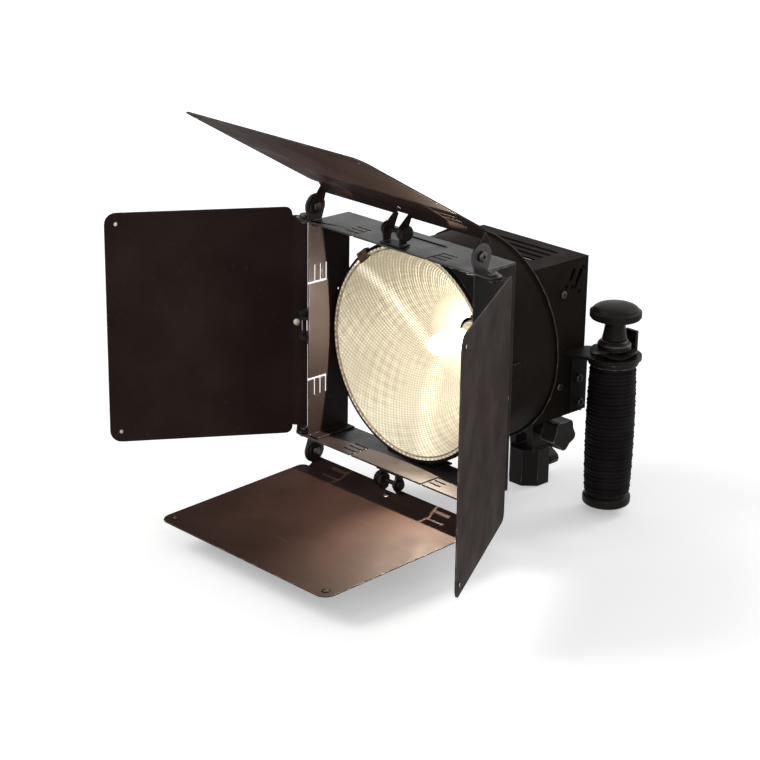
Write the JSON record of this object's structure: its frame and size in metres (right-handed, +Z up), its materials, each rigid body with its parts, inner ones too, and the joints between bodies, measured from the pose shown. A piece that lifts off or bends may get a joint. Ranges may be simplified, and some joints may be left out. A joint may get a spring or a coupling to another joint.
{
  "type": "open-face stage light",
  "caption": "Open-face stage light with barn-door leaves hinged on a square frame, a deep round reflector, a side grip and a tilting stand socket.",
  "frame": {"origin": "centre of the stand socket's open lower end", "axes": "+Z up along the stand spigot, the light faces -Y, +X is the side with the grip"},
  "size_m": [0.4127, 0.357, 0.355],
  "materials": {
    "black_paint": "semi-gloss black paint",
    "reflector_metal": "dimpled, warm cream tint",
    "clip_steel": "heat-tanned spring steel",
    "quartz_glass": "clear to frosted quartz",
    "ceramic": "matte off-white",
    "plated_steel": "bright plated",
    "core_aluminium": "plain",
    "black_rubber": "matte ribbed",
    "black_plastic": "satin, knurled rims"
  },
  "bodies": {
    "base": {"stand_socket": "black_paint", "tilt_bolt": "plated_steel"},
    "head": {"drum_shell": "black_paint", "drum_back": "black_paint", "reflector": "reflector_metal", "reflector_clip_1": "clip_steel", "reflector_clip_2": "clip_steel", "guide_rods": "plated_steel", "housing_cover": "black_paint", "housing_chassis": "black_paint", "rear_cover": "black_paint", "case_screw_1": "plated_steel", "case_screw_2": "plated_steel", "case_screw_3": "plated_steel", "case_screw_4": "plated_steel", "cord_gland": "black_rubber", "tilt_tongue": "black_paint", "frame_top_strip": "black_paint", "frame_bottom_strip": "black_paint", "frame_left_strip": "black_paint", "frame_right_strip": "black_paint", "centre_hinge_top": "black_paint", "centre_hinge_bottom": "black_paint", "centre_hinge_left": "black_paint", "centre_hinge_right": "black_paint", "hinge_screw_top_a": "plated_steel", "hinge_screw_top_b": "plated_steel", "hinge_screw_bottom_a": "plated_steel", "hinge_screw_bottom_b": "plated_steel", "hinge_screw_left_a": "plated_steel", "hinge_screw_left_b": "plated_steel", "hinge_screw_right_a": "plated_steel", "hinge_screw_right_b": "plated_steel", "friction_screw_top": "black_paint", "friction_screw_bottom": "black_paint", "friction_screw_left": "black_paint", "friction_screw_right": "black_paint", "grip_bracket": "black_paint", "bracket_screw_1": "black_paint", "bracket_screw_2": "black_paint", "clamp_washer": "black_paint", "clamp_jaw": "black_paint"},
    "leaf_top": {"leaf_top": "black_paint"},
    "leaf_bottom": {"leaf_bottom": "black_paint"},
    "leaf_left": {"leaf_left": "black_paint"},
    "leaf_right": {"leaf_right": "black_paint"},
    "focus": {"focus_screw": "plated_steel", "focus_knob": "black_plastic"},
    "carriage": {"lamp_carriage": "black_paint", "lamp_holder": "ceramic", "lamp_bulb": "quartz_glass"},
    "grip": {"grip_core": "core_aluminium", "grip_sleeve": "black_rubber", "grip_collar": "black_paint", "grip_end": "black_plastic"},
    "clamp_knob": {"clamp_knob": "black_plastic"},
    "tilt_knob": {"tilt_knob": "black_plastic"},
    "spigot_lock": {"spigot_screw": "plated_steel", "spigot_knob": "black_plastic"}
  },
  "joints": [
    {"name": "head_tilt", "type": "hinge", "parent": "base", "child": "head", "pos_m": [0, 0, 0.0525], "axis": [1, 0, 0], "range_deg": [-60, 60]},
    {"name": "tilt_lock_turn", "type": "hinge", "parent": "base", "child": "tilt_knob", "pos_m": [0, 0, 0.0525], "axis": [1, 0, 0], "range_deg": [-180, 180]},
    {"name": "spigot_lock_turn", "type": "hinge", "parent": "base", "child": "spigot_lock", "pos_m": [0, 0, 0.015], "axis": [0, 1, 0], "range_deg": [-180, 180]},
    {"name": "leaf_top_hinge", "type": "hinge", "parent": "head", "child": "leaf_top", "pos_m": [0, -0.167, 0.257], "axis": [-1, 0, 0], "range_deg": [-120, 80]},
    {"name": "leaf_bottom_hinge", "type": "hinge", "parent": "head", "child": "leaf_bottom", "pos_m": [0, -0.167, 0.043], "axis": [1, 0, 0], "range_deg": [-92.3, 107.7]},
    {"name": "leaf_left_hinge", "type": "hinge", "parent": "head", "child": "leaf_left", "pos_m": [-0.107, -0.167, 0.15], "axis": [0, 0, -1], "range_deg": [-122.9, 77.1]},
    {"name": "leaf_right_hinge", "type": "hinge", "parent": "head", "child": "leaf_right", "pos_m": [0.107, -0.167, 0.15], "axis": [0, 0, 1], "range_deg": [-120.7, 79.3]},
    {"name": "focus_turn", "type": "hinge", "parent": "head", "child": "focus", "pos_m": [0, -0.0035, 0.122], "axis": [0, 1, 0], "range_deg": [-360, 792]},
    {"name": "carriage_slide", "type": "slide", "parent": "head", "child": "carriage", "axis": [0, 1, 0], "range_m": [-0.008, 0.02]},
    {"name": "grip_swivel", "type": "hinge", "parent": "head", "child": "grip", "pos_m": [0.09, -0.001, 0.1362], "axis": [0, 0, 1], "range_deg": [-90, 90]},
    {"name": "clamp_turn", "type": "hinge", "parent": "grip", "child": "clamp_knob", "pos_m": [0.09, -0.001, 0.1529], "axis": [0, 0, 1], "range_deg": [-180, 180]}
  ],
  "couplings": [
    {"joint": "focus_turn", "follows": "carriage_slide", "rad_per_m": 628.32}
  ]
}
